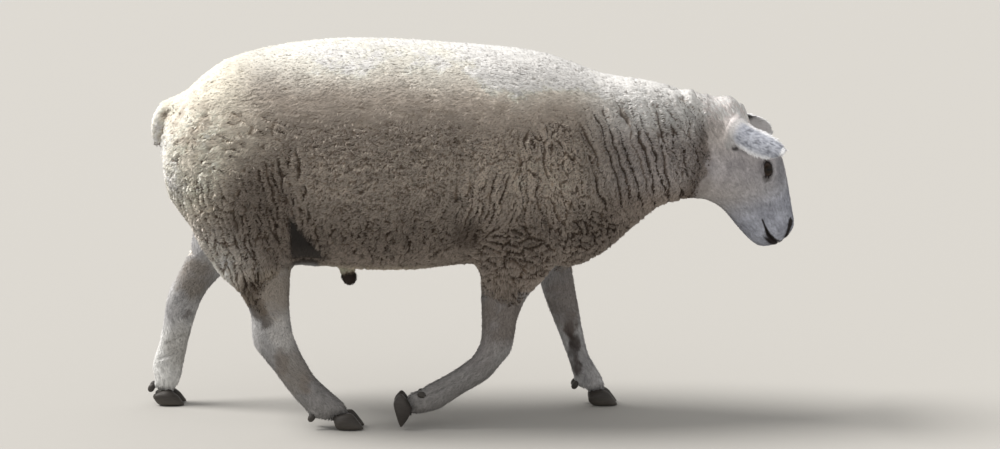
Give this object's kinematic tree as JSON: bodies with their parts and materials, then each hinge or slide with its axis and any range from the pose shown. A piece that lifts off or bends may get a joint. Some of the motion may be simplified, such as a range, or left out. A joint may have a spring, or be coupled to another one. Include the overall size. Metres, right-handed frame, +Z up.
{
  "type": "sheep",
  "caption": "Hornless, short-woolled sheep of a meat breed, life size, walking slowly with its head lowered; a still museum-style model on its own feet.",
  "frame": {"origin": "middle of the animal's length and width, on the floor under its soles", "axes": "+X towards the head along the body, +Y to the animal's left, +Z up"},
  "size_m": [1.2906, 0.4118, 0.7553],
  "materials": {
    "wool": "dense short fleece, matt",
    "hair": "short flat hair, matt",
    "horn": "dark hoof horn, half gloss",
    "eye": "wet, glossy",
    "bare_skin": "dark bare skin"
  },
  "bodies": {
    "root": {"ear_left": "hair", "ear_right": "hair", "eye_left": "eye", "eye_right": "eye", "fore_left_claw_inner": "horn", "fore_left_claw_outer": "horn", "fore_left_dewclaw_inner": "horn", "fore_left_dewclaw_outer": "horn", "fore_left_lower": "hair", "fore_left_upper": "wool", "fore_right_claw_inner": "horn", "fore_right_claw_outer": "horn", "fore_right_dewclaw_inner": "horn", "fore_right_dewclaw_outer": "horn", "fore_right_lower": "hair", "fore_right_upper": "wool", "head": "hair", "hind_left_claw_inner": "horn", "hind_left_claw_outer": "horn", "hind_left_dewclaw_inner": "horn", "hind_left_dewclaw_outer": "horn", "hind_left_lower": "hair", "hind_left_upper": "wool", "hind_right_claw_inner": "horn", "hind_right_claw_outer": "horn", "hind_right_dewclaw_inner": "horn", "hind_right_dewclaw_outer": "horn", "hind_right_lower": "hair", "hind_right_upper": "wool", "neck": "wool", "sheath": "bare_skin", "tail": "wool", "trunk": "wool"}
  },
  "joints": []
}
